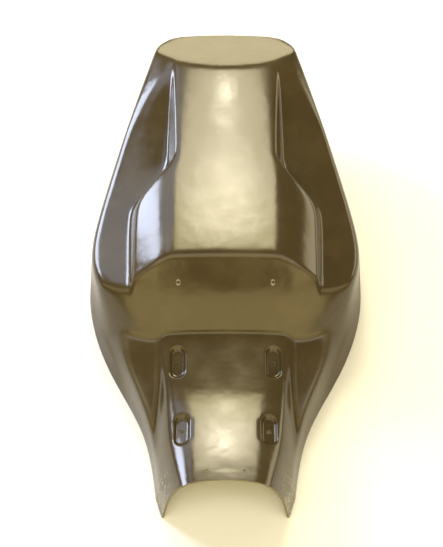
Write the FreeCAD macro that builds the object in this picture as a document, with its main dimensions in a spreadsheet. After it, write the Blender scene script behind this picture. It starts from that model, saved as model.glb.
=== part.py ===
import FreeCAD, Part
import math
import os

import Sketcher

# Race seat unit: one glass-fibre shell, open underneath and at the front.
# X is to the right, Y runs from the front edge to the tail, Z is up, in mm.
# Stations in the sheet are measured from the front edge, heights from the ground.

doc = FreeCAD.newDocument("race_seat_unit")
sheet = doc.addObject("Spreadsheet::Sheet", "Sizes")

SIZES = [
    ("wall", 3.0, "laminate thickness"),
    ("length", 680.0, "middle of the front edge to the tail edge"),
    ("stock", 260.0, "height of the blocks that are cut down"),
    ("margin", 30.0, "how far skins and cutters run past the part"),
    # plan outline at the rim
    ("toe_reach", 7.0, "how far the front feet stand ahead of the middle of the front edge"),
    ("hollow_half", 55.0, "half width of the hollow between them"),
    ("nose_half", 84.0, "half width of the front edge"),
    ("toe_station", 20.0, "where the cut corner of the front edge ends"),
    ("toe_half", 92.5, "half width there"),
    ("waist_station", 118.0, "narrow part of the skirt"),
    ("waist_half", 112.5, "half width there"),
    ("knee_station", 209.0, "skirt beside the riser"),
    ("knee_half", 157.0, "half width there"),
    ("hip_station", 328.0, "widest place"),
    ("hip_half", 192.0, "half width there"),
    ("haunch_station", 490.0, "side of the tail"),
    ("haunch_half", 172.0, "half width there"),
    ("tail_half", 123.0, "half width at the rear corners"),
    ("tail_bow", 14.0, "how far the rear wall bows out"),
    ("tail_round", 24.0, "radius of the rear corners"),
    ("draft", 8.5, "lean of the sides, degrees"),
    # saddle
    ("saddle_front", 96.0, "platform height at the front edge"),
    ("saddle_rear", 86.0, "platform height at the riser"),
    ("saddle_dish", 9.0, "sag of the platform between those two"),
    ("saddle_bow", 0.0012, "crosswise curvature of the platform"),
    ("arch_half", 25.0, "half width past which the front edge is arched"),
    ("arch_bow", 0.012, "crosswise curvature of that arch"),
    ("arch_fade", 60.0, "length over which the arch fades"),
    ("sidewall_half", 88.0, "half width at the foot of the sidewalls"),
    ("sidewall_slope", 2.6, "sidewall rise over run"),
    ("ledge_front", 5.0, "ledge height at the front edge"),
    ("ledge_rear", 78.0, "ledge height at the riser"),
    ("crease_front", 84.0, "half width where the ledge turns down, at the front"),
    ("crease_rear", 132.0, "half width where the ledge turns down, at the riser"),
    ("crease_radius", 26.0, "radius of that turn"),
    ("crease_slope", 1.3, "slope that the turn runs into"),
    ("sidewall_blend", 8.0, "softness of the platform edges"),
    ("ledge_blend", 10.0, "softness of the sidewall foot"),
    # riser
    ("riser_station", 219.0, "foot of the riser on the centre line"),
    ("riser_angle", 61.0, "slope of the riser at its foot, degrees"),
    ("riser_top_angle", 42.0, "slope that it bends towards, degrees"),
    ("riser_fade", 45.0, "length over which it bends"),
    ("riser_blend", 7.0, "softness of the riser foot"),
    ("wrap_half", 112.0, "half width where the riser starts to wrap rearwards"),
    ("wrap_radius", 90.0, "radius of the wrap"),
    ("brow_blend", 5.0, "softness of the edge above the riser"),
    # hump
    ("hump_station", 284.0, "where the hump starts on the centre line"),
    ("crest_station", 596.0, "where the tail facet starts on the centre line"),
    ("crown_front", 182.0, "centre panel height at the front"),
    ("crown_rise", 22.0, "rise of the centre panel to the crest"),
    ("panel_half", 65.0, "half width of the centre panel"),
    ("panel_bow", 0.0004, "crosswise curvature of the panel at the front"),
    ("crest_bow", 0.0022, "crosswise curvature of the panel at the crest"),
    ("panel_blend", 2.5, "softness of the panel edges"),
    ("shoulder_radius", 45.0, "radius at which the shoulders turn down at the front"),
    ("shoulder_growth", 60.0, "growth of that radius to the crest"),
    ("shoulder_slope", 0.95, "slope that the shoulders run into"),
    ("shelf_half", 140.0, "half width past which the crown runs level"),
    ("shelf_blend", 6.0, "softness of that change, outside the island"),
    ("neck_half", 93.5, "half width where the island neck starts"),
    ("neck_rear_half", 108.0, "half width of the neck at the tail edge"),
    ("neck_station", 452.0, "where the neck starts"),
    ("island_half", 141.0, "widest half width of the island"),
    ("island_front_half", 134.0, "half width of the island at its front end"),
    ("island_front", 195.0, "station of that end, inside the riser"),
    ("island_station", 392.0, "where the diagonal shoulders start"),
    ("island_draft", 17.0, "lean of the island wall, degrees"),
    ("island_round", 22.0, "radius of the island corners in plan"),
    ("island_foot", 110.0, "height at which the island plan is given"),
    ("flank_front", 150.0, "flank height on the centre line at the riser"),
    ("flank_rise", 50.0, "rise of the flank to the crest"),
    ("flank_power", 2.2, "how late that rise comes"),
    ("flank_radius", 700.0, "crosswise radius of the flanks"),
    # tail facet and rim
    ("facet_angle", 19.0, "tilt of the tail facet, degrees"),
    ("rim_station", 395.0, "where the rim leaves the ground"),
    ("rim_rise", 112.0, "height of the rim at the tail edge"),
    # bolt dimples and holes
    ("slot_width", 20.0, "width of the bolt dimples"),
    ("slot_reach", 24.0, "length between the round ends of the dimples"),
    ("rear_slot_depth", 9.0, "depth of the rear dimples"),
    ("front_slot_depth", 10.0, "depth of the front dimples"),
    ("slot_draft", 10.0, "lean of the dimple walls, degrees"),
    ("rear_bolt_half", 64.0, "half spacing of the rear bolts"),
    ("rear_bolt_station", 181.0, "station of the rear bolts"),
    ("front_bolt_half", 57.0, "half spacing of the front bolts"),
    ("front_bolt_station", 80.0, "station of the front bolts"),
    ("bolt_hole", 6.5, "diameter of the bolt holes"),
    ("pad_hole", 4.5, "diameter of the small drilled holes"),
    ("lip_hole_half", 24.5, "half spacing of the holes in the front lip"),
    ("lip_hole_station", 14.0, "station of those holes"),
    ("riser_hole_half", 63.0, "half spacing of the holes in the riser"),
    ("riser_hole_station", 264.0, "station of those holes"),
]

for row, (alias, value, note) in enumerate(SIZES, start=1):
    sheet.set(f"A{row}", note)
    sheet.set(f"B{row}", str(value))
    sheet.setAlias(f"B{row}", alias)
doc.recompute()


def size(alias):
    return float(sheet.get(alias))


def vec(x, y, z):
    return FreeCAD.Vector(x, y, z)


def along(station):
    return station - size("length") / 2


def blend_max(one, two, softness):
    return (one + two) / 2 + math.hypot((one - two) / 2, softness)


def blend_min(one, two, softness):
    return (one + two) / 2 - math.hypot((one - two) / 2, softness)


def slope(alias):
    return math.tan(math.radians(size(alias)))


# Heights of the skins: side is the distance from the centre plane, run the station.


def ledge_height(side, run):
    share = run / size("riser_station")
    level = size("ledge_front") + (size("ledge_rear") - size("ledge_front")) * share
    turn = min(max(share, 0.0), 1.0)
    swell = turn ** 2 * (3 - 2 * turn)
    crease = size("crease_front") + (size("crease_rear") - size("crease_front")) * swell
    past = math.hypot(max(side - crease, 0.0), size("crease_radius")) - size("crease_radius")
    return level - past * size("crease_slope")


def platform_height(side, run):
    share = run / size("riser_station")
    level = size("saddle_front") + (size("saddle_rear") - size("saddle_front")) * share
    sag = 4 * size("saddle_dish") * share * (1 - share)
    fade = math.exp(-((run / size("arch_fade")) ** 2))
    past = max(side - size("arch_half"), 0.0)
    arch = size("arch_bow") * fade * past ** 2 / 2
    return level - sag - arch - size("saddle_bow") * side ** 2 / 2


def riser_height(side, run):
    wrap = max(side - size("wrap_half"), 0.0) ** 2 / (2 * size("wrap_radius"))
    past = run - size("riser_station") - wrap
    bend = slope("riser_angle") - slope("riser_top_angle")
    eased = size("riser_fade") * (1 - math.exp(-past / size("riser_fade")))
    return size("saddle_rear") + past * slope("riser_top_angle") + bend * eased


def saddle_height(side, run):
    ledge = ledge_height(side, run)
    share = run / size("riser_station")
    foot = size("ledge_front") + (size("ledge_rear") - size("ledge_front")) * share
    wall = foot + (size("sidewall_half") - side) * size("sidewall_slope")
    seat = blend_min(platform_height(side, run), wall, size("sidewall_blend"))
    low = blend_max(ledge, seat, size("ledge_blend"))
    return blend_max(low, riser_height(side, run), size("riser_blend"))


def hump_share(run):
    return (run - size("hump_station")) / (size("crest_station") - size("hump_station"))


def crown_height(side, run):
    share = hump_share(run)
    late = max(share, 0.0)
    near = blend_min(side, size("shelf_half"), size("shelf_blend"))
    level = size("crown_front") + size("crown_rise") * share
    bow = size("panel_bow") + (size("crest_bow") - size("panel_bow")) * late ** 2
    radius = size("shoulder_radius") + size("shoulder_growth") * late
    reach = blend_max(near - size("panel_half"), 0.0, size("panel_blend"))
    fall = (math.hypot(reach, radius) - radius) * size("shoulder_slope")
    return level - bow * near ** 2 / 2 - fall


def top_height(side, run):
    return blend_min(crown_height(side, run), saddle_height(side, run), size("brow_blend"))


def flank_height(side, run):
    late = max(hump_share(run), 0.0)
    level = size("flank_front") + size("flank_rise") * late ** size("flank_power")
    return level - side ** 2 / (2 * size("flank_radius"))


def spread(stops, counts):
    values = []
    for low, high, count in zip(stops, stops[1:], counts):
        values += [low + (high - low) * step / count for step in range(count)]
    return values + [stops[-1]]


def feature(name, shape):
    item = doc.addObject("Part::Feature", name)
    item.Shape = shape
    return item


# Height of a skin that lies the inset below another one, measured square to it.


def lowered(height, side, run, inset):
    small = 0.05
    across = (height(side + small, run) - height(abs(side - small), run)) / (2 * small)
    back = (height(side, run + small) - height(side, run - small)) / (2 * small)
    return height(side, run) - inset * math.sqrt(1 + across ** 2 + back ** 2)


def ruled_loft(name, sections):
    item = doc.addObject("Part::Loft", name)
    item.Sections = sections
    item.Solid = True
    item.Ruled = True
    return item


# A solid between a level and a skin, lofted through one cross-section for each run.


def skin_loft(name, height, inset, halves, runs, level):
    sides = [-half for half in halves[:0:-1]] + halves
    sections = []
    for number, run in enumerate(runs):
        y = along(run)
        points = [vec(x, y, lowered(height, abs(x), run, inset)) for x in sides]
        skin = Part.BSplineCurve()
        skin.interpolate(Points=points, Parameters=sides)
        ends = [points[-1], vec(sides[-1], y, level), vec(sides[0], y, level), points[0]]
        outline = Part.Wire([skin.toShape()] + Part.makePolygon(ends).Edges)
        sections.append(feature(f"{name}_{number}", outline))
    return ruled_loft(name, sections)


def extrusion(name, base, forward, backward, taper=None):
    item = doc.addObject("Part::Extrusion", name)
    item.Base = base
    item.DirMode = "Custom"
    item.Dir = vec(0, 0, 1)
    item.Solid = True
    item.setExpression("LengthFwd", forward)
    item.setExpression("LengthRev", backward)
    if taper:
        item.setExpression("TaperAngle", taper)
    return item


def boolean(kind, name, base, tool):
    item = doc.addObject(kind, name)
    item.Base = base
    item.Tool = tool
    return item


# A closed sketch of straight lines, each corner held by two sizes of the sheet.


def sketch(name, corners, placement):
    item = doc.addObject("Sketcher::SketchObject", name)
    item.Placement = placement
    spots = [vec(u[0], v[0], 0) for u, v in corners]
    last = len(spots)
    for index in range(last):
        item.addGeometry(Part.LineSegment(spots[index], spots[(index + 1) % last]), False)
    for index in range(last):
        item.addConstraint(Sketcher.Constraint("Coincident", index, 2, (index + 1) % last, 1))
    for index, corner in enumerate(corners):
        for kind, (value, rule) in zip(("DistanceX", "DistanceY"), corner):
            number = item.addConstraint(Sketcher.Constraint(kind, -1, 1, index, 1, value))
            item.setExpression(f"Constraints[{number}]", rule)
    return item


def side_outline(name, inset, height):
    lean = height * slope("draft") + inset / math.cos(math.radians(size("draft")))
    front = along(-size("toe_reach")) if inset == 0 else along(-size("margin"))
    rear = along(size("length")) - inset
    corner = rear - size("tail_bow")
    stops = [
        (size("toe_half"), along(size("toe_station"))),
        (size("waist_half"), along(size("waist_station"))),
        (size("knee_half"), along(size("knee_station"))),
        (size("hip_half"), along(size("hip_station"))),
        (size("haunch_half"), along(size("haunch_station"))),
        (size("tail_half"), corner),
    ]
    edges = []
    for way in (1, -1):
        points = [vec(way * (half - lean), y, height) for half, y in stops]
        curve = Part.BSplineCurve()
        curve.interpolate(points)
        nose = vec(way * (size("nose_half") - lean), front, height)
        chain = [Part.makeLine(nose, points[0]), curve.toShape()]
        edges.append((nose, chain, points[-1]))
    right, left = edges
    tail = Part.Arc(right[2], vec(0, rear, height), left[2]).toShape()
    nose_line = Part.makeLine(left[0], right[0])
    return feature(name, Part.Wire(right[1] + [tail] + left[1][::-1] + [nose_line]))


def top_loft(name, inset):
    margin = size("margin")
    rise = size("riser_station")
    halves = spread([0.0, 45.0, 105.0, 155.0, size("hip_half") + margin], [2, 9, 4, 2])
    ends = [-margin, 0.0, rise / 2, rise - 35.0, rise + 91.0, rise + 166.0, size("length") + margin]
    runs = spread(ends, [1, 10, 8, 14, 3, 4])
    return skin_loft(name, top_height, inset, halves, runs, -size("stock"))


def above_flank_loft(name, inset):
    reach = 2 * size("margin")
    halves = spread([0.0, size("hip_half") + reach], [4])
    runs = spread([-reach, size("hump_station"), size("length") + reach], [1, 9])
    return skin_loft(name, flank_height, inset, halves, runs, 2 * size("stock"))


def island_sketch(name, inset):
    offset = inset / math.cos(math.radians(size("island_draft")))
    middle = size("length") / 2
    stops = [
        ("island_front_half", "island_front"),
        ("island_half", "island_station"),
        ("neck_half", "neck_station"),
        ("neck_rear_half", "length"),
    ]
    corners = []
    for way, order in ((1, stops), (-1, stops[::-1])):
        for half, station in order:
            u = way * (size(half) - offset)
            rule = f"{way} * (Sizes.{half} - {offset:.5f})"
            reach = size("margin") if station == "length" else 0.0
            v = size(station) - middle + reach
            corners.append(((u, rule), (v, f"Sizes.{station} - Sizes.length / 2 + {reach:.5f}")))
    level = FreeCAD.Placement(vec(0, 0, size("island_foot")), FreeCAD.Rotation())
    return sketch(name, corners, level)


def fillet(name, base, radius, wanted):
    doc.recompute()
    item = doc.addObject("Part::Fillet", name)
    item.Base = base
    item.Edges = [
        (number, radius, radius)
        for number, edge in enumerate(base.Shape.Edges, start=1) if wanted(edge)
    ]
    return item


def is_upright(edge):
    ends = [vertex.Point for vertex in edge.Vertexes]
    return abs(ends[0].z - ends[-1].z) > size("margin")


def is_corner(edge):
    return is_upright(edge) and edge.CenterOfMass.y > along(size("riser_station"))


def is_tail_corner(edge):
    return is_upright(edge) and edge.CenterOfMass.y > along(size("haunch_station"))


def facet_cutter(name, inset):
    item = doc.addObject("Part::Box", name)
    item.setExpression("Length", "2 * (Sizes.hip_half + Sizes.margin)")
    item.setExpression("Width", "Sizes.length / 2")
    item.setExpression("Height", "Sizes.stock")
    turn = FreeCAD.Rotation(vec(1, 0, 0), -size("facet_angle"))
    crest = vec(0, along(size("crest_station")), size("crown_front") + size("crown_rise"))
    shift = vec(-size("hip_half") - size("margin"), -2 * size("margin"), -inset)
    item.Placement = FreeCAD.Placement(crest + turn.multVec(shift), turn)
    return item


# The body is solid for the outside of the shell, or moved in by the wall for its hollow.


def body(tag, inset):
    top = top_loft(f"top_{tag}", inset)
    above = above_flank_loft(f"above_flank_{tag}", inset)
    plan = island_sketch(f"island_plan_{tag}", inset)
    island = extrusion(f"island_{tag}", plan, "Sizes.stock / 2", "0", "-Sizes.island_draft")
    rounded = fillet(f"round_island_{tag}", island, size("island_round"), is_corner)
    beside = boolean("Part::Cut", f"beside_island_{tag}", above, rounded)
    hump = boolean("Part::Cut", f"hump_{tag}", top, beside)
    low = 0.0 if inset == 0 else -size("margin")
    ends = ((f"rim_{tag}", low), (f"brim_{tag}", size("stock")))
    sections = [side_outline(name, inset, height) for name, height in ends]
    sheath = ruled_loft(f"sides_{tag}", sections)
    round_sheath = fillet(f"round_sides_{tag}", sheath, size("tail_round") - inset, is_tail_corner)
    trimmed = boolean("Part::Common", f"trimmed_{tag}", hump, round_sheath)
    return boolean("Part::Cut", f"faceted_{tag}", trimmed, facet_cutter(f"facet_{tag}", inset))


def slot(name, way, end, inset):
    half, station = size(f"{end}_bolt_half"), size(f"{end}_bolt_station")
    floor = platform_height(half, station) - size(f"{end}_slot_depth") - inset
    radius = size("slot_width") / 2 + inset
    reach = size("slot_reach") / 2
    x, y = way * half, along(station)
    right = Part.makeLine(vec(x + radius, y - reach, floor), vec(x + radius, y + reach, floor))
    left = Part.makeLine(vec(x - radius, y + reach, floor), vec(x - radius, y - reach, floor))
    tips = [vec(x, y + reach + radius, floor), vec(x, y - reach - radius, floor)]
    rear = Part.Arc(right.Vertexes[1].Point, tips[0], left.Vertexes[0].Point).toShape()
    front = Part.Arc(left.Vertexes[1].Point, tips[1], right.Vertexes[0].Point).toShape()
    outline = feature(f"{name}_outline", Part.Wire([right, rear, left, front]))
    return extrusion(name, outline, f"Sizes.{end}_slot_depth + Sizes.margin", "0", "Sizes.slot_draft")


def drill(name, diameter, place, axis):
    item = doc.addObject("Part::Cylinder", name)
    item.setExpression("Radius", f"Sizes.{diameter} / 2")
    item.setExpression("Height", "2 * Sizes.margin")
    turn = FreeCAD.Rotation(vec(0, 0, 1), axis)
    item.Placement = FreeCAD.Placement(place - turn.multVec(vec(0, 0, size("margin"))), turn)
    return item


def together(name, items):
    item = doc.addObject("Part::MultiFuse", name)
    item.Shapes = items
    return item


def rim_cutter(name):
    start = along(size("rim_station"))
    end = along(size("length") + size("margin"))
    rise = size("rim_rise") * (end - start) / (along(size("length")) - start)
    low = -2 * size("margin")
    middle = vec(0, (start + end) / 2, rise * 0.36)
    curve = Part.Arc(vec(0, start, 0), middle, vec(0, end, rise)).toShape()
    drop = Part.makePolygon([vec(0, end, rise), vec(0, end, low), vec(0, start, low), vec(0, start, 0)])
    outline = feature(f"{name}_outline", Part.Wire([curve] + drop.Edges))
    item = doc.addObject("Part::Extrusion", name)
    item.Base = outline
    item.DirMode = "Custom"
    item.Dir = vec(1, 0, 0)
    item.Solid = True
    item.Symmetric = True
    item.setExpression("LengthFwd", "2 * (Sizes.hip_half + Sizes.margin)")
    return item


def front_cutter(name):
    item = doc.addObject("Part::Cylinder", name)
    rule = "(Sizes.hollow_half ^ 2 + Sizes.toe_reach ^ 2) / (2 * Sizes.toe_reach)"
    item.setExpression("Radius", rule)
    item.setExpression("Height", "Sizes.stock")
    item.setExpression("Placement.Base.y", f"-Sizes.length / 2 - {rule}")
    return item


outside = body("outer", 0.0)
hollow = body("inner", size("wall"))

dimples = []
bosses = []
holes = []
upright = vec(0, 0, 1)
reach = (size("riser_hole_half"), size("riser_hole_station"))
lean = math.atan(riser_height(reach[0], reach[1] + 0.5) - riser_height(reach[0], reach[1] - 0.5))
for way, hand in ((1, "right"), (-1, "left")):
    for end in ("rear", "front"):
        dimples.append(slot(f"dimple_{end}_{hand}", way, end, 0.0))
        bosses.append(slot(f"boss_{end}_{hand}", way, end, size("wall")))
        half, station = size(f"{end}_bolt_half"), size(f"{end}_bolt_station")
        spot = vec(way * half, along(station), platform_height(half, station))
        holes.append(drill(f"bolt_{end}_{hand}", "bolt_hole", spot, upright))
    for end, axis in (("lip", upright), ("riser", vec(0, -math.sin(lean), math.cos(lean)))):
        half, station = size(f"{end}_hole_half"), size(f"{end}_hole_station")
        spot = vec(way * half, along(station), top_height(half, station))
        holes.append(drill(f"hole_{end}_{hand}", "pad_hole", spot, axis))

dented = boolean("Part::Cut", "dented", outside, together("dimples", dimples))
roomy = boolean("Part::Cut", "roomy", hollow, together("bosses", bosses))
shell = boolean("Part::Cut", "shell", dented, roomy)
trimmed = boolean("Part::Cut", "rim_trimmed", shell, rim_cutter("under_rim"))
hollowed = boolean("Part::Cut", "front_trimmed", trimmed, front_cutter("before_front_edge"))
finished = boolean("Part::Cut", "seat_shell", hollowed, together("holes", holes))
finished.Label = "seat_shell"
doc.recompute()
for item in doc.Objects:
    if "Invalid" in item.State or "Error" in item.State:
        raise RuntimeError(f"{item.Name} is broken: {item.State}")
    if hasattr(item, "Shape") and item.Shape.Solids and not item.Shape.isValid():
        raise RuntimeError(f"{item.Name} has an invalid shape")
print(finished.Label, len(finished.Shape.Solids), "solid", round(finished.Shape.Volume), "mm3")
os.makedirs("parts", exist_ok=True)
finished.Shape.exportStep("parts/seat_shell.step")
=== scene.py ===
import math

import bmesh
import bpy
import numpy as np
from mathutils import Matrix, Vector


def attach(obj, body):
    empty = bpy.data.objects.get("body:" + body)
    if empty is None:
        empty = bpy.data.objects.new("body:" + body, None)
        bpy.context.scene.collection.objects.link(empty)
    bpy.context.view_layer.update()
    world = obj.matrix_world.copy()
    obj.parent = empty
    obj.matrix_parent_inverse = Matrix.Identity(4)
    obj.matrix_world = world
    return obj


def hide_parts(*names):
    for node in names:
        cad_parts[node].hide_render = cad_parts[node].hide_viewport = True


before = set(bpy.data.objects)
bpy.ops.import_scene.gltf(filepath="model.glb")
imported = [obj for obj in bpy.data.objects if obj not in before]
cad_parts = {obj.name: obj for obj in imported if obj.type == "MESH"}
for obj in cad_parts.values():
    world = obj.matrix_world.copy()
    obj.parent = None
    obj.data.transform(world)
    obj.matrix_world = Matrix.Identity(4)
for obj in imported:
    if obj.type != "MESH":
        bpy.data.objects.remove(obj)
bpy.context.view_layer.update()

# Race seat unit in black gelcoat, laid on a white sheet. Lengths of shapes and patterns are in mm,
# those of the stage in metres. Stations run from the front edge to the tail.


def hexToLinear(code):
    parts = np.array([int(code[k:k + 2], 16) for k in (1, 3, 5)]) / 255
    linear = np.where(parts <= 0.04045, parts / 12.92, ((parts + 0.055) / 1.055) ** 2.4)
    return (*(float(v) for v in linear), 1.0)


def addNode(tree, kind, inputs=None, **settings):
    node = tree.nodes.new(kind)
    for name, value in settings.items():
        setattr(node, name, value)
    for name, value in (inputs or {}).items():
        if isinstance(value, bpy.types.NodeSocket):
            tree.links.new(value, node.inputs[name])
        else:
            node.inputs[name].default_value = value
    return node


# shape of the shell

saddle = {
    "frontHeight": 96.0, "rearHeight": 86.0, "dish": 9.0,      # platform on the centre line
    "lowStation": 135.0, "lowHeight": 81.2, "rearRise": 0.062, "lowSoft": 0.5,
    "bow": 0.0005, "archHalf": 40.0, "archBow": 0.018, "archFade": 95.0,
    "wallHalf": 88.0, "wallSlope": 2.6, "wallSplay": 8.0, "splayFade": (0.2, 0.75),
    "ledgeFront": 5.0, "ledgeRear": 82.0,
    "creaseFront": 84.0, "creaseRear": 132.0, "creaseRadius": 26.0, "creaseSlope": 1.3,
    "edgeSoft": 7.0, "frontSoft": 2.0, "footSoft": 8.0,
}
riser = {
    "station": 219.0, "angle": 61.0, "topAngle": 42.0, "fade": 45.0,
    "soft": 1.5, "wrapHalf": 88.0, "wrapRadius": 104.0,
}
hump = {
    "front": 284.0, "crest": 596.0, "height": 182.0, "rise": 22.0,
    "panelHalf": 65.0, "panelBow": 0.0004, "crestBow": 0.0022, "panelSoft": 2.5,
    "shoulderRadius": 45.0, "shoulderGrowth": 60.0, "shoulderSlope": 0.95,
    "shelfHalf": 140.0, "shelfSoft": 6.0, "browSoft": 1.6,
    "facetAngle": 19.0, "crestSoft": 1.2,
}
island = {
    "stations": (195.0, 392.0, 452.0, 710.0), "halves": (134.0, 141.0, 93.5, 108.0),
    "foot": 110.0, "draft": 17.0, "cornerSoft": 4.0, "topSoft": 3.0, "footSoft": 3.0,
    "flankFront": 150.0, "flankRise": 53.0, "flankPower": 2.2, "flankRadius": 700.0,
}
skirt = {
    "stations": (20.0, 118.0, 209.0, 328.0, 490.0, 666.0),
    "halves": (92.5, 112.5, 157.0, 192.0, 172.0, 123.0),
    "noseHalf": 84.0, "toeReach": 7.0, "hollowHalf": 55.0, "hollowTo": 60.0,    # feet ahead of the edge
    "length": 680.0, "tailBow": 14.0, "tailFrom": 540.0, "tailRound": 24.0,
    "draft": 8.5, "hipDraft": 4.0, "hipStation": 310.0, "hipReach": 80.0,
    "edgeSoft": 7.0, "barrelSoft": 22.0, "barrelStation": 235.0, "barrelReach": 42.0, "rollFade": 3.0,
    "curlReach": 9.0, "curlSlope": 0.8, "curlIn": (265.0, 285.0), "curlOut": (460.0, 540.0),
    "rimStation": 395.0, "rimSlope": 0.173, "rimCurve": 6.98e-4,
}
dimples = {
    "rear": (64.0, 181.0), "front": (57.0, 80.0),         # half spacing, station
    "width": 18.5, "reach": 24.0, "depth": 6.5, "wall": 1.3,
}
shell = {
    "wall": 3.0, "rearRows": 8, "sharpAngle": 50.0,
    "rowStops": (-7, 55, 105, 155, 208, 320, 385, 460, 588, 606, 656, 680),
    "rowCounts": (18, 28, 16, 30, 46, 16, 26, 24, 8, 12, 12),
    "columnCounts": (8, 26, 18, 18, 22),
}
# half widths of the lengthwise grid lines on the saddle, and how far they keep from edges
guide = {
    "panel": 45.0, "panelGrowth": 5.0, "head": 78.0, "foot": 98.0, "toHump": (225.0, 295.0),
    "wallGap": 7.0, "headGap": 10.0, "footGap": 12.0, "sideGap": 4.0, "edgeGap": 6.0,
    "topInset": 24.0, "edgeInset": 12.0, "edgeLeast": 8.0, "rounds": 4,
}


# the larger or smaller of two heights, with a hyperbola that rounds the corner between them
def softMax(one, two, soft):
    return (one + two) / 2 + np.hypot((one - two) / 2, soft)


def softMin(one, two, soft):
    return (one + two) / 2 - np.hypot((one - two) / 2, soft)


def ease(value, low, high):
    t = np.clip((value - low) / (high - low), 0, 1)
    return t * t * (3 - 2 * t)


def near(run, station, reach):
    return np.exp(-((run - station) / reach) ** 2)


def splineAt(stations, values, at):
    # natural cubic spline: the second slopes come from one small linear system
    x, y = np.array(stations), np.array(values)
    gap = np.diff(x)
    system = np.eye(len(x))
    right = np.zeros(len(x))
    k = np.arange(1, len(x) - 1)
    system[k, k - 1], system[k, k], system[k, k + 1] = gap[:-1], 2 * (gap[:-1] + gap[1:]), gap[1:]
    right[1:-1] = 6 * np.diff(np.diff(y) / gap)
    bend = np.linalg.solve(system, right)
    cell = np.clip(np.searchsorted(x, at) - 1, 0, len(gap) - 1)
    a, b, h = x[cell + 1] - at, at - x[cell], gap[cell]
    straight = (y[cell] / h - bend[cell] * h / 6) * a + (y[cell + 1] / h - bend[cell + 1] * h / 6) * b
    return (bend[cell] * a ** 3 + bend[cell + 1] * b ** 3) / (6 * h) + straight


def saddleHeight(side, run):
    # platform, sidewall, ledge and riser planes, joined by hyperbolas that round their corners
    s = saddle
    share = run / riser["station"]
    foot = s["ledgeFront"] + (s["ledgeRear"] - s["ledgeFront"]) * share
    crease = s["creaseFront"] + (s["creaseRear"] - s["creaseFront"]) * ease(share, 0, 1)
    past = np.hypot(np.maximum(side - crease, 0), s["creaseRadius"]) - s["creaseRadius"]
    ledge = foot - past * s["creaseSlope"]
    arch = s["archBow"] * near(run, 0, s["archFade"])
    arched = arch * np.maximum(side - s["archHalf"], 0) ** 2 / 2
    sag = 4 * s["dish"] * share * (1 - share)
    dished = s["frontHeight"] + (s["rearHeight"] - s["frontHeight"]) * share - sag
    level = softMax(dished, s["lowHeight"] + (run - s["lowStation"]) * s["rearRise"], s["lowSoft"])
    platform = level - arched - s["bow"] * side ** 2 / 2
    toFront = 1 - ease(share, *s["splayFade"])
    wall = foot + (s["wallHalf"] + s["wallSplay"] * toFront - side) * s["wallSlope"]
    soft = s["edgeSoft"] + s["frontSoft"] * toFront
    low = softMax(ledge, softMin(platform, wall, soft), s["footSoft"])
    for half, station in (dimples["rear"], dimples["front"]):
        low = low - dimples["depth"] * insideSlot(side - half, run - station)
    return softMax(low, riserHeight(side, run), riser["soft"])


def riserHeight(side, run):
    # a wall that wraps rearwards at its ends and eases from its foot slope to its top slope
    wrap = np.maximum(side - riser["wrapHalf"], 0) ** 2 / (2 * riser["wrapRadius"])
    past = run - riser["station"] - wrap
    foot, top = (math.tan(math.radians(riser[name])) for name in ("angle", "topAngle"))
    eased = riser["fade"] * (1 - np.exp(-past / riser["fade"]))
    return saddle["rearHeight"] + past * top + (foot - top) * eased


def insideSlot(across, along):
    # one within a slot with round ends, none outside it, with a steep smooth wall between
    off = np.hypot(across, np.maximum(np.abs(along) - dimples["reach"] / 2, 0)) - dimples["width"] / 2
    return 0.5 - 0.5 * np.tanh(off / dimples["wall"])


def crownHeight(side, run):
    # bowed centre panel whose shoulders turn down past the panel edge
    h = hump
    share = (run - h["front"]) / (h["crest"] - h["front"])
    late = np.maximum(share, 0)
    out = softMin(side, np.full_like(side, h["shelfHalf"]), h["shelfSoft"])
    bow = h["panelBow"] + (h["crestBow"] - h["panelBow"]) * late ** 2
    radius = h["shoulderRadius"] + h["shoulderGrowth"] * late
    reach = softMax(out - h["panelHalf"], np.zeros_like(out), h["panelSoft"])
    fall = (np.hypot(reach, radius) - radius) * h["shoulderSlope"]
    return h["height"] + h["rise"] * share - bow * out ** 2 / 2 - fall


def flankHeight(side, run):
    # a level that climbs ever faster to the crest, arched across by a parabola
    late = np.maximum((run - hump["front"]) / (hump["crest"] - hump["front"]), 0)
    level = island["flankFront"] + island["flankRise"] * late ** island["flankPower"]
    return level - side ** 2 / (2 * island["flankRadius"])


def islandHeight(side, run):
    # leaning wall round the island: its height grows with the distance inside three plan edges
    x, half = island["stations"], island["halves"]
    inside = []
    for k in range(3):
        along, across = x[k + 1] - x[k], half[k + 1] - half[k]
        at = half[k] + (run - x[k]) * across / along
        inside.append((at - side) * along / math.hypot(along, across))
    depth = softMax(softMin(inside[0], inside[1], island["cornerSoft"]), inside[2], island["cornerSoft"])
    return island["foot"] + depth / math.tan(math.radians(island["draft"]))


def rimHeight(run):
    # the lower edge is flat at the front and sweeps up to the tail
    past = np.maximum(run - skirt["rimStation"], 0)
    return skirt["rimSlope"] * past + skirt["rimCurve"] * past ** 2


def rimHalf(run, squared):
    # plan half width: straight toe, smooth sides, and a quarter circle at each rear corner
    ahead = (skirt["stations"][0] - run) / (skirt["stations"][0] + skirt["toeReach"])
    nose = skirt["halves"][0] + (skirt["noseHalf"] - skirt["halves"][0]) * ahead
    sides = splineAt(skirt["stations"], skirt["halves"], np.minimum(run, skirt["stations"][-1]))
    radius = skirt["tailRound"]
    into = np.clip(squared - (skirt["length"] - radius), 0, radius)
    corner = radius - np.sqrt(radius ** 2 - into ** 2)
    return np.where(run < skirt["stations"][0], nose, sides) - corner


def lean(run):
    # the skirt stands steeper beside the hips
    hips = near(run, skirt["hipStation"], skirt["hipReach"])
    return np.tan(np.radians(skirt["draft"] + (skirt["hipDraft"] - skirt["draft"]) * hips))


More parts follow.
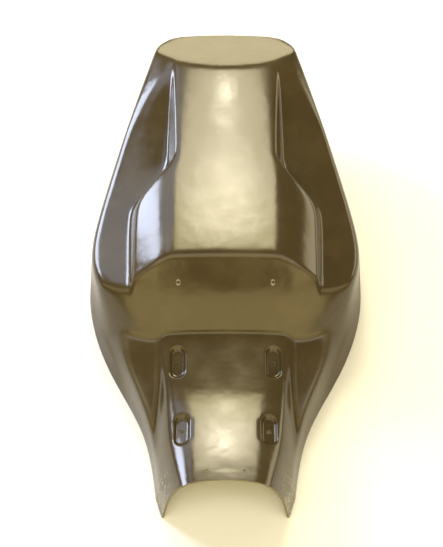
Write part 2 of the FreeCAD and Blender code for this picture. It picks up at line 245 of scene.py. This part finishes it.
def topHeight(side, run):
    # lowest of crown, saddle, tail facet and the higher of flank and island wall, corners rounded
    inner = softMin(crownHeight(side, run), saddleHeight(side, run), hump["browSoft"])
    outer = softMax(flankHeight(side, run), islandHeight(side, run), island["footSoft"])
    top = softMin(inner, outer, island["topSoft"])
    crest = hump["height"] + hump["rise"]
    facet = crest - (run - hump["crest"]) * math.tan(math.radians(hump["facetAngle"]))
    return softMin(top, facet, hump["crestSoft"])


def outerHeight(side, run, squared):
    # the skirt's top edge is rolled over widely where the riser wraps round into it, with no
    # roll left at the rim
    k = skirt
    half = rimHalf(run, squared)
    wall = (half - side) / lean(run)
    roll = k["edgeSoft"] + k["barrelSoft"] * near(run, k["barrelStation"], k["barrelReach"])
    roll = roll * ease(wall, 0, k["rollFade"] * roll)
    # the flank's last few millimetres curl down to it
    top = topHeight(side, run)
    into = np.clip(side - half + lean(run) * top + k["curlReach"], 0, k["curlReach"] * 2)
    share = ease(run, *k["curlIn"]) * (1 - ease(run, *k["curlOut"]))
    top = top - share * into ** 2 * k["curlSlope"] / (2 * k["curlReach"])
    return np.maximum(softMin(top, wall, roll), rimHeight(run))


def graded(stops, counts):
    # even steps between stops, with a count for each gap
    parts = [np.linspace(a, b, n, endpoint=False) for a, b, n in zip(stops, stops[1:], counts)]
    return np.concatenate(parts + [np.array(stops[-1:], float)])


def bowAt(side, run):
    # how far a crosswise row bends forward: nothing at the hips, the rear wall's bow at the
    # tail, and at the front the arc of the hollow between the feet
    toTail = ease(run, skirt["tailFrom"], skirt["length"])
    tail = skirt["tailBow"] * (side / skirt["halves"][-1]) ** 2 * toTail
    reach, half = skirt["toeReach"], skirt["hollowHalf"]
    radius = (half ** 2 + reach ** 2) / (2 * reach)
    hollow = reach - radius + np.sqrt(radius ** 2 - np.minimum(side, half) ** 2)
    return tail - hollow * (1 - ease(run, -reach, skirt["hollowTo"]))


def gridGuides(rows):
    # half widths that the lengthwise grid lines follow, so that edges lie along the grid; the
    # rim and the bow of a row hang on each other, so a few rounds settle them
    g = guide
    rim = rimHalf(rows, rows)
    for _ in range(g["rounds"]):
        station = rows - bowAt(rim, rows)
        rim = rimHalf(station, rows) - rimHeight(station) * lean(station)
    plan = np.interp(rows, island["stations"], island["halves"])
    middle = (topHeight(plan - g["topInset"], rows) + flankHeight(plan, rows)) / 2
    wall = plan - (middle - island["foot"]) * math.tan(math.radians(island["draft"]))
    onHump = ease(rows, *g["toHump"])
    edge = topHeight(rim - g["edgeInset"], rows) - rimHeight(rows)
    side = rim - np.clip(edge, g["edgeLeast"], None) * lean(rows) - g["edgeGap"]
    foot = np.minimum(g["foot"] + (wall + g["wallGap"] - g["foot"]) * onHump, side - g["sideGap"])
    head = np.minimum(g["head"] + (wall - g["wallGap"] - g["head"]) * onHump, foot - g["footGap"])
    panel = np.minimum(g["panel"] + g["panelGrowth"] * onHump, head - g["headGap"])
    return [np.zeros_like(rows), panel, head, foot, side, rim]


def outerSurface():
    rows = graded(shell["rowStops"], shell["rowCounts"])
    guides = gridGuides(rows)
    parts = []
    for low, high, count in zip(guides, guides[1:], shell["columnCounts"]):
        parts.append(low[:, None] + (high - low)[:, None] * np.arange(count) / count)
    half = np.concatenate(parts + [guides[-1][:, None]], axis=1)
    x = np.concatenate([-half[:, :0:-1], half], axis=1)
    side = np.abs(x)
    squared = np.broadcast_to(rows[:, None], x.shape)
    run = squared - bowAt(side, squared)
    z = outerHeight(side, run, squared)
    # the rear wall: the last row carried straight down to the rim
    drop = np.linspace(0, 1, shell["rearRows"] + 1)[1:, None]
    low = rimHeight(run[-1])
    z = np.concatenate([z, z[-1] + (low - z[-1]) * drop])
    x = np.concatenate([x, np.broadcast_to(x[-1], (len(drop), x.shape[1]))])
    run = np.concatenate([run, np.broadcast_to(run[-1], (len(drop), x.shape[1]))])
    return np.stack([x, run - skirt["length"] / 2, z], axis=-1)


def innerSurface(outer):
    # the outer surface moved in by the laminate, kept level with it along the trimmed edges
    across = np.gradient(outer, axis=1)
    along = np.gradient(outer, axis=0)
    normal = np.cross(across, along)
    length = np.linalg.norm(normal, axis=-1, keepdims=True)
    above = normal[-1 - shell["rearRows"]]                # where rows meet at the rear corners
    normal = np.where(length < 1e-9, above, normal)
    normal /= np.linalg.norm(normal, axis=-1, keepdims=True)
    inner = outer - normal * shell["wall"]
    inner[0, :, 1] = outer[0, :, 1]
    for cut in (np.s_[:, 0], np.s_[:, -1], np.s_[-1, :]):
        inner[cut][..., 2] = outer[cut][..., 2]
    return inner


def shellMesh(name):
    outer = outerSurface()
    inner = innerSurface(outer)
    rows, columns = outer.shape[:2]
    ids = np.arange(rows * columns).reshape(rows, columns)
    a, b, c, d = ids[:-1, :-1], ids[:-1, 1:], ids[1:, 1:], ids[1:, :-1]
    shift = rows * columns
    outside = np.stack([a, b, c, d], -1).reshape(-1, 4)
    inside = np.stack([d, c, b, a], -1).reshape(-1, 4) + shift
    rims = []
    for edge in (ids[0, ::-1], ids[-1], ids[:, 0], ids[::-1, -1]):
        rims.append(np.stack([edge[:-1], edge[1:], edge[1:] + shift, edge[:-1] + shift], -1))
    rim = np.concatenate(rims)
    mesh = bpy.data.meshes.new(name)
    points = np.concatenate([outer.reshape(-1, 3), inner.reshape(-1, 3)]) / 1000
    faces = np.concatenate([outside, inside, rim])
    mesh.from_pydata(points, [], faces)
    kinds = np.repeat([0, 1, 2], [len(outside), len(inside), len(rim)]).astype(np.int32)
    mesh.polygons.foreach_set("material_index", kinds)
    form = bmesh.new()
    form.from_mesh(mesh)
    bmesh.ops.remove_doubles(form, verts=form.verts, dist=1e-6)   # rows meet at the rear corners
    form.to_mesh(mesh)
    form.free()
    print("shell grid", rows, "x", columns, "faces", len(mesh.polygons))
    return mesh


# holes drilled after moulding

drilled = {
    "bolt": 6.5, "pad": 4.5, "depth": 60.0, "sides": 32,
    "lip": (24.5, 14.0), "riser": (63.0, 264.0),       # half spacing, station
}


def holePlugs(name):
    # one closed cylinder for each hole, all in one cutter mesh
    half, station = drilled["riser"]
    pair = np.array([station - 0.5, station + 0.5])       # a millimetre apart, for the slope
    tilt = math.atan(np.diff(riserHeight(np.full(2, half), pair))[0])
    square = Vector((0, -math.sin(tilt), math.cos(tilt)))
    up = Vector((0, 0, 1))
    spots = [(dimples["rear"], "bolt", up), (dimples["front"], "bolt", up),
             (drilled["lip"], "pad", up), (drilled["riser"], "pad", square)]
    form = bmesh.new()
    for (half, station), kind, axis in spots:
        level = topHeight(np.array([half]), np.array([station]))[0]
        for way in (-1, 1):
            place = Vector((way * half, station - skirt["length"] / 2, level)) / 1000
            turn = up.rotation_difference(axis).to_matrix().to_4x4()
            turn.translation = place
            bmesh.ops.create_cone(
                form, cap_ends=True, segments=drilled["sides"], radius1=drilled[kind] / 2000,
                radius2=drilled[kind] / 2000, depth=drilled["depth"] / 1000, matrix=turn)
    for face in form.faces:
        face.material_index = 2
    mesh = bpy.data.meshes.new(name)
    form.to_mesh(mesh)
    form.free()
    return mesh


def drill(piece):
    plugs = bpy.data.objects.new("plugs", holePlugs("plugs"))
    bpy.context.scene.collection.objects.link(plugs)
    cut = piece.modifiers.new("drill", "BOOLEAN")
    cut.operation, cut.solver, cut.object = "DIFFERENCE", "EXACT", plugs
    ready = piece.evaluated_get(bpy.context.evaluated_depsgraph_get())
    mesh = bpy.data.meshes.new_from_object(ready)
    piece.modifiers.remove(cut)
    piece.data = mesh
    bpy.data.objects.remove(plugs)
    mesh.polygons.foreach_set("use_smooth", np.ones(len(mesh.polygons), bool))
    mesh.set_sharp_from_angle(angle=math.radians(shell["sharpAngle"]))
    print("drilled shell", len(mesh.polygons), "faces")


# materials

gelcoat = {
    # the pale colour serves scuffs, the painted floor reflection on the feet and the painted highlight round
    # the riser holes
    "deep": "#382e1a", "warm": "#463a21", "haze": "#8c8160", "paleScuffAndHighlight": "#b9b3a2", "ior": 1.52,
    "cloud": 55.0, "dust": 8.0, "breakup": 5.0, "grain": 1.4, "ripple": 30.0,    # pattern sizes
    "cloudRange": (0.3, 0.7), "rough": (0.13, 0.22),
    "hazeRange": (0.46, 0.74), "hazeShare": 0.10,
    "footStation": 42.0, "footHalf": 70.0, "footFade": 12.0,       # where the feet are scuffed and carry a painted floor reflection
    "breakupRange": (0.52, 0.60), "ringReach": 3.2, "scuffDull": 0.35,
    "rubHalf": 22.0, "rubRise": 5.0, "rubShare": 0.5,
    "hipHalf": (115.0, 155.0), "hipHeight": (150.0, 30.0), "hipDull": 0.35,
    "rippleBump": (0.2, 2.0), "grainBump": (0.05, 0.4),            # strength, height
}
laminate = {
    "resin": "#5d5636", "glass": "#a39a74", "rough": 0.42, "ior": 1.54,
    "strand": 9.0, "strandEdge": 0.14, "strandShare": (0.8, 0.1), "strandBump": (0.5, 0.8),
    "wavesPerMetre": 60.0, "waveShare": 0.06,
}
cutEdge = {"light": "#8d8360", "dark": "#3a3320", "speck": 0.9, "rough": 0.72, "ior": 1.54}
paper = {"colour": "#f8faff", "grain": 3.0, "rough": 0.9, "grainBump": (0.05, 0.2)}


def newMaterial(name):
    material = bpy.data.materials.new(name)
    material.use_nodes = True
    material.node_tree.nodes.clear()
    return material, material.node_tree


def blackGelcoat():
    # Near-black gelcoat off a waxed mould: a deep gloss with an olive-brown tint, clouded by old
    # wax and handling, with long ripples, a fine grain, pale scuffs on the front feet that also carry a
    # painted floor reflection, and a painted highlight round the riser's pad holes.
    g = gelcoat
    material, tree = newMaterial("black gelcoat, moulded and waxed")
    place = addNode(tree, "ShaderNodeTexCoord").outputs["Object"]
    cloud = addNode(tree, "ShaderNodeTexNoise", {
        "Vector": place, "Scale": 1000 / g["cloud"], "Detail": 5.0, "Roughness": 0.6}).outputs["Fac"]
    dust = addNode(tree, "ShaderNodeTexNoise", {
        "Vector": place, "Scale": 1000 / g["dust"], "Detail": 4.0, "Roughness": 0.7}).outputs["Fac"]
    hazy = addNode(tree, "ShaderNodeMapRange", {
        "Value": cloud, "From Min": g["hazeRange"][0], "From Max": g["hazeRange"][1],
        "To Max": g["hazeShare"]}).outputs["Result"]
    veil = addNode(tree, "ShaderNodeMath", {0: hazy, 1: dust}, operation="MULTIPLY").outputs["Value"]
    tone = addNode(tree, "ShaderNodeMix", {
        "Factor": cloud, 6: hexToLinear(g["deep"]), 7: hexToLinear(g["warm"])}, data_type="RGBA")
    waxed = addNode(tree, "ShaderNodeMix", {
        "Factor": veil, 6: tone.outputs[2], 7: hexToLinear(g["haze"])}, data_type="RGBA")
    # scuffs together with a painted reflection of the floor: broken noise, only on the outer corners of the
    # front edge
    axes = addNode(tree, "ShaderNodeSeparateXYZ", {"Vector": place}).outputs
    aside = addNode(tree, "ShaderNodeMath", {0: axes["X"]}, operation="ABSOLUTE").outputs["Value"]
    front = -skirt["length"] / 2000
    ahead = addNode(tree, "ShaderNodeMapRange", {
        "Value": axes["Y"], "From Min": front + g["footStation"] / 1000, "From Max": front})
    outer = addNode(tree, "ShaderNodeMapRange", {
        "Value": aside, "From Min": g["footHalf"] / 1000,
        "From Max": (g["footHalf"] + g["footFade"]) / 1000})
    corner = addNode(tree, "ShaderNodeMath", {
        0: ahead.outputs["Result"], 1: outer.outputs["Result"]}, operation="MULTIPLY").outputs["Value"]
    chips = addNode(tree, "ShaderNodeTexNoise", {
        "Vector": place, "Scale": 1000 / g["breakup"], "Detail": 6.0, "Roughness": 0.8}).outputs["Fac"]
    broken = addNode(tree, "ShaderNodeMapRange", {
        "Value": chips, "From Min": g["breakupRange"][0], "From Max": g["breakupRange"][1]}).outputs["Result"]
    feetScuffAndReflection = addNode(tree, "ShaderNodeMath", {0: corner, 1: broken}, operation="MULTIPLY").outputs["Value"]
    # a painted highlight: a pale ring round the pad holes in the riser
    flat = addNode(tree, "ShaderNodeCombineXYZ", {"X": aside, "Y": axes["Y"]}).outputs["Vector"]
    half, station = drilled["riser"]
    hole = (half / 1000, front + station / 1000, 0)
    away = addNode(tree, "ShaderNodeVectorMath", {0: flat, 1: hole}, operation="DISTANCE").outputs["Value"]
    ring = addNode(tree, "ShaderNodeMapRange", {
        "Value": away, "From Min": g["ringReach"] / 1000, "From Max": drilled["pad"] / 2000})
    holeRingHighlight = addNode(tree, "ShaderNodeMath", {
        0: ring.outputs["Result"], 1: chips}, operation="MULTIPLY").outputs["Value"]
    # and rubbed along the lip between the front pad holes
    squeezed = addNode(tree, "ShaderNodeVectorMath", {
        0: flat, 1: (g["rubRise"] / g["rubHalf"], 1, 1)}, operation="MULTIPLY").outputs["Vector"]
    lip = (0, front + drilled["lip"][1] / 1000, 0)
    off = addNode(tree, "ShaderNodeVectorMath", {0: squeezed, 1: lip}, operation="DISTANCE").outputs["Value"]
    rubbed = addNode(tree, "ShaderNodeMapRange", {
        "Value": off, "From Min": g["rubRise"] / 1000, "From Max": 0, "To Max": g["rubShare"]})
    # real scuffs on the lip, the feet's scuffs with painted floor reflection and the painted hole highlight,
    # all in one pale colour
    feetAndRingMarks = addNode(tree, "ShaderNodeMath", {0: feetScuffAndReflection, 1: holeRingHighlight}, operation="MAXIMUM").outputs["Value"]
    scuffsAndPaintedLight = addNode(tree, "ShaderNodeMath", {
        0: feetAndRingMarks, 1: rubbed.outputs["Result"]}, operation="MAXIMUM").outputs["Value"]
    colour = addNode(tree, "ShaderNodeMix", {
        "Factor": scuffsAndPaintedLight, 6: waxed.outputs[2], 7: hexToLinear(g["paleScuffAndHighlight"])}, data_type="RGBA")
    gloss = addNode(tree, "ShaderNodeMapRange", {
        "Value": cloud, "From Min": g["cloudRange"][0], "From Max": g["cloudRange"][1],
        "To Min": g["rough"][0], "To Max": g["rough"][1]})
    # the low sides of the hips are rubbed dull by handling
    wide = addNode(tree, "ShaderNodeMapRange", {
        "Value": aside, "From Min": g["hipHalf"][0] / 1000, "From Max": g["hipHalf"][1] / 1000},
        interpolation_type="SMOOTHERSTEP").outputs["Result"]
    low = addNode(tree, "ShaderNodeMapRange", {
        "Value": axes["Z"], "From Min": g["hipHeight"][0] / 1000, "From Max": g["hipHeight"][1] / 1000,
        "To Max": g["hipDull"]},
        interpolation_type="SMOOTHERSTEP").outputs["Result"]
    handled = addNode(tree, "ShaderNodeMath", {
        0: wide, 1: low, 2: gloss.outputs["Result"]}, operation="MULTIPLY_ADD").outputs["Value"]
    dulled = addNode(tree, "ShaderNodeMath", {
        0: scuffsAndPaintedLight, 1: g["scuffDull"], 2: handled}, operation="MULTIPLY_ADD").outputs["Value"]
    ripple = addNode(tree, "ShaderNodeTexNoise", {
        "Vector": place, "Scale": 1000 / g["ripple"], "Detail": 2.0}).outputs["Fac"]
    grain = addNode(tree, "ShaderNodeTexNoise", {
        "Vector": place, "Scale": 1000 / g["grain"], "Detail": 2.0}).outputs["Fac"]
    soft = addNode(tree, "ShaderNodeBump", {
        "Height": ripple, "Strength": g["rippleBump"][0], "Distance": g["rippleBump"][1] / 1000})
    bump = addNode(tree, "ShaderNodeBump", {
        "Height": grain, "Strength": g["grainBump"][0], "Distance": g["grainBump"][1] / 1000,
        "Normal": soft.outputs["Normal"]})
    skin = addNode(tree, "ShaderNodeBsdfPrincipled", {
        "Base Color": colour.outputs[2], "Roughness": dulled, "IOR": g["ior"],
        "Normal": bump.outputs["Normal"]})
    addNode(tree, "ShaderNodeOutputMaterial", {"Surface": skin.outputs["BSDF"]})
    return material


def choppedStrandLaminate():
    # Chopped-strand mat wetted out by hand: amber resin with a pale web of strands and a soft,
    # uneven shine. The strands are drawn wider than life so that they show.
    m = laminate
    material, tree = newMaterial("chopped strand glass and resin, hand laid")
    place = addNode(tree, "ShaderNodeTexCoord").outputs["Object"]
    bent = addNode(tree, "ShaderNodeTexNoise", {
        "Vector": place, "Scale": m["wavesPerMetre"], "Detail": 2.0})
    shifted = addNode(tree, "ShaderNodeMix", {
        "Factor": m["waveShare"], 4: place, 5: bent.outputs["Color"]}, data_type="VECTOR")
    strands = addNode(tree, "ShaderNodeTexVoronoi", {
        "Vector": shifted.outputs[1], "Scale": 1000 / m["strand"]}, feature="DISTANCE_TO_EDGE")
    web = addNode(tree, "ShaderNodeMapRange", {
        "Value": strands.outputs["Distance"], "From Max": m["strandEdge"],
        "To Min": m["strandShare"][0], "To Max": m["strandShare"][1]})
    colour = addNode(tree, "ShaderNodeMix", {
        "Factor": web.outputs["Result"], 6: hexToLinear(m["resin"]), 7: hexToLinear(m["glass"])},
        data_type="RGBA")
    bump = addNode(tree, "ShaderNodeBump", {
        "Height": web.outputs["Result"], "Strength": m["strandBump"][0],
        "Distance": m["strandBump"][1] / 1000})
    skin = addNode(tree, "ShaderNodeBsdfPrincipled", {
        "Base Color": colour.outputs[2], "Roughness": m["rough"], "IOR": m["ior"],
        "Normal": bump.outputs["Normal"]})
    addNode(tree, "ShaderNodeOutputMaterial", {"Surface": skin.outputs["BSDF"]})
    return material


def sawnLaminate():
    # Edge cut with a disc: dull, with glass and resin showing as fine pale and dark specks.
    material, tree = newMaterial("laminate edge, sawn and sanded")
    place = addNode(tree, "ShaderNodeTexCoord").outputs["Object"]
    specks = addNode(tree, "ShaderNodeTexNoise", {
        "Vector": place, "Scale": 1000 / cutEdge["speck"], "Detail": 3.0, "Roughness": 0.6}).outputs["Fac"]
    colour = addNode(tree, "ShaderNodeMix", {
        "Factor": specks, 6: hexToLinear(cutEdge["dark"]), 7: hexToLinear(cutEdge["light"])},
        data_type="RGBA")
    skin = addNode(tree, "ShaderNodeBsdfPrincipled", {
        "Base Color": colour.outputs[2], "Roughness": cutEdge["rough"], "IOR": cutEdge["ior"]})
    addNode(tree, "ShaderNodeOutputMaterial", {"Surface": skin.outputs["BSDF"]})
    return material


def whitePaper():
    # Matt white background sheet with a barely visible grain.
    material, tree = newMaterial("white paper, matt")
    place = addNode(tree, "ShaderNodeTexCoord").outputs["Object"]
    grain = addNode(tree, "ShaderNodeTexNoise", {"Vector": place, "Scale": 1000 / paper["grain"]})
    bump = addNode(tree, "ShaderNodeBump", {
        "Height": grain.outputs["Fac"], "Strength": paper["grainBump"][0],
        "Distance": paper["grainBump"][1] / 1000})
    skin = addNode(tree, "ShaderNodeBsdfPrincipled", {
        "Base Color": hexToLinear(paper["colour"]), "Roughness": paper["rough"],
        "Normal": bump.outputs["Normal"]})
    addNode(tree, "ShaderNodeOutputMaterial", {"Surface": skin.outputs["BSDF"]})
    return material


# the piece

seatShell = bpy.data.objects.new("seatShell", shellMesh("seatShell"))
bpy.context.scene.collection.objects.link(seatShell)
for finish in (blackGelcoat(), choppedStrandLaminate(), sawnLaminate()):
    seatShell.data.materials.append(finish)
drill(seatShell)
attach(seatShell, "root")
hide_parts("seat_shell")
print("seat shell placed")

# stage

studio = {
    "elevation": 56.0, "distance": 2.4, "target": (0.0, -0.0201, 0.09),
    "lens": 114.68, "sensor": 36.0, "shift": -4 / 547, "lightAim": (0.0, 0.0, 0.1),
    "floor": 6.0, "world": "#7c7768", "worldStrength": 1.0,
}
# each light stands so many degrees round from the rear to the right, degrees up and metres away;
# radiance is what a mirror would show of it, with white paper near 1
lights = {
    "rear wall top": {"from": (0, 54.5, 2.3), "size": (0.9, 0.56), "radiance": 10.5, "colour": "#fff4cc"},
    "rear ceiling": {"from": (0, 65, 2.3), "size": (0.8, 0.30), "radiance": 9.5, "colour": "#fff4ba"},
    "saddle lamp": {"from": (0, 61.2, 1.06), "size": (0.21, 0.12), "radiance": 10.5, "colour": "#fff6dc"},
    "far lamp": {"from": (0, 54.6, 2.25), "size": (0.13, 0.09), "radiance": 42.0, "colour": "#fff6dc"},
    "near lamp": {"from": (0, 63.6, 2.16), "size": (0.09, 0.05), "radiance": 60.0, "colour": "#fff6dc"},
    "low rear wall": {"from": (0, 15, 2.6), "size": (2.2, 0.75), "radiance": 5.4, "colour": "#fff2c4"},
    "left window": {"from": (-56, 26, 2.5), "size": (0.7, 1.2), "radiance": 20.0, "colour": "#dbe6ff"},
    "upper left": {"from": (-38, 50, 2.5), "size": (0.9, 0.9), "radiance": 2.6, "colour": "#d8e6ff"},
    "right wall": {"from": (60, 15, 2.5), "size": (1.2, 0.8), "radiance": 4.0, "colour": "#fff0c8"},
    "front room": {"from": (180, 9, 2.7), "size": (5.0, 0.9), "radiance": 2.6, "colour": "#ffe9a0"},
    "front left": {"from": (-156, 27, 2.7), "size": (1.6, 0.72), "radiance": 2.6, "colour": "#ffe9a0"},
    "front right": {"from": (156, 27, 2.7), "size": (1.6, 0.72), "radiance": 2.6, "colour": "#ffe9a0"},
    "front ceiling": {"from": (180, 49, 2.9), "size": (2.5, 0.7), "radiance": 2.6, "colour": "#ffe9a0"},
    "overhead front": {"from": (180, 65, 2.9), "size": (4.4, 0.95), "radiance": 1.9, "colour": "#fff6e4"},
    "ceiling left": {"from": (-120, 46, 2.6), "size": (1.4, 0.9), "radiance": 1.0, "colour": "#fff4dc"},
    "ceiling right": {"from": (120, 46, 2.6), "size": (1.4, 0.9), "radiance": 1.2, "colour": "#fff4dc"},
    "side fill left": {"from": (-112, 26, 2.6), "size": (1.6, 1.0), "radiance": 1.4, "colour": "#ffe9a0"},
    "side fill right": {"from": (112, 26, 2.6), "size": (1.6, 1.0), "radiance": 1.4, "colour": "#ffe9a0"},
}


def addLight(name, spec):
    data = bpy.data.lights.new(name, "AREA")
    data.shape = "RECTANGLE"
    data.size, data.size_y = spec["size"]
    data.energy = spec["radiance"] * math.pi * data.size * data.size_y
    data.color = hexToLinear(spec["colour"])[:3]
    lamp = bpy.data.objects.new(name, data)
    away = spec["from"][2]
    turn, up = (math.radians(angle) for angle in spec["from"][:2])
    out = Vector((math.sin(turn) * math.cos(up), math.cos(turn) * math.cos(up), math.sin(up)))
    lamp.location = Vector(studio["lightAim"]) + out * away
    lamp.rotation_euler = (-out).to_track_quat("-Z", "Y").to_euler()
    bpy.context.scene.collection.objects.link(lamp)


def addStage():
    half = studio["floor"] / 2
    mesh = bpy.data.meshes.new("floor")
    corners = [(-half, -half, 0), (half, -half, 0), (half, half, 0), (-half, half, 0)]
    mesh.from_pydata(corners, [], [(0, 1, 2, 3)])
    floor = bpy.data.objects.new("floor", mesh)
    mesh.materials.append(whitePaper())
    bpy.context.scene.collection.objects.link(floor)
    world = bpy.data.worlds.new("room")
    world.use_nodes = True
    backdrop = world.node_tree.nodes["Background"]
    backdrop.inputs["Color"].default_value = hexToLinear(studio["world"])
    backdrop.inputs["Strength"].default_value = studio["worldStrength"]
    bpy.context.scene.world = world
    for name, spec in lights.items():
        addLight(name, spec)


def addCamera():
    data = bpy.data.cameras.new("camera")
    data.lens, data.sensor_width, data.shift_x = studio["lens"], studio["sensor"], studio["shift"]
    camera = bpy.data.objects.new("camera", data)
    tilt = math.radians(studio["elevation"])
    forward = Vector((0, math.cos(tilt), -math.sin(tilt)))
    camera.location = Vector(studio["target"]) - forward * studio["distance"]
    camera.rotation_euler = forward.to_track_quat("-Z", "Y").to_euler()
    bpy.context.scene.collection.objects.link(camera)
    bpy.context.scene.camera = camera
    bpy.context.scene.view_settings.view_transform = "Standard"


addStage()
addCamera()
print("stage, lights and camera placed")
